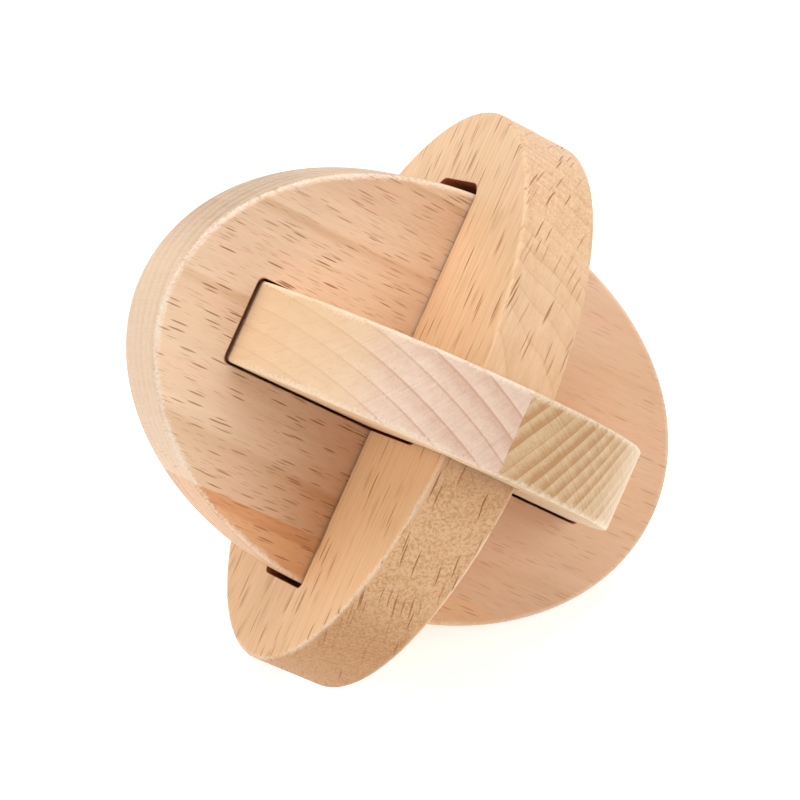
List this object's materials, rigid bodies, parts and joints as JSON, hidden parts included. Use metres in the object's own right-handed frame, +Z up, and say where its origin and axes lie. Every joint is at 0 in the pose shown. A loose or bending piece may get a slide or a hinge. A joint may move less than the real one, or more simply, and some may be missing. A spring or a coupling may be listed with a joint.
{
  "type": "wooden burr puzzle",
  "caption": "Wooden burr puzzle of interlocking oval beech plates, each standing through a slot in the next; the key plate slides out to free the others.",
  "frame": {"origin": "the point where the three plates cross, which is the middle of the whole puzzle", "axes": "+Z straight up with the puzzle standing on three of its rims; +X along the longest overall extent, with the long axis of the cross plate lying in the XZ plane and sloping down towards +X; the key plate points up towards -Y"},
  "size_m": [0.0644, 0.0608, 0.0552],
  "materials": {
    "beech_reddish": "sanded and left plain, dense dark flecks",
    "beech_orange": "sanded and left plain",
    "beech_tan": "sanded and left plain",
    "beech_pink": "sanded and left plain",
    "beech_yellow": "sanded and left plain"
  },
  "bodies": {
    "upright_plate": {"upright_plate": "beech_tan"},
    "cross_plate": {"cross_plate_main_stave": "beech_reddish", "cross_plate_edge_stave": "beech_orange"},
    "key_plate": {"key_plate_left_stave": "beech_pink", "key_plate_right_stave": "beech_yellow"}
  },
  "joints": [
    {"name": "key_plate_slide", "type": "slide", "parent": "upright_plate", "child": "key_plate", "axis": [0.4082, -0.7071, 0.5774], "range_m": [-0.0003, 0.0416]},
    {"name": "cross_plate_play", "type": "slide", "parent": "upright_plate", "child": "cross_plate", "axis": [0.8165, 0, -0.5774], "range_m": [-0.0003, 0.0003]}
  ]
}
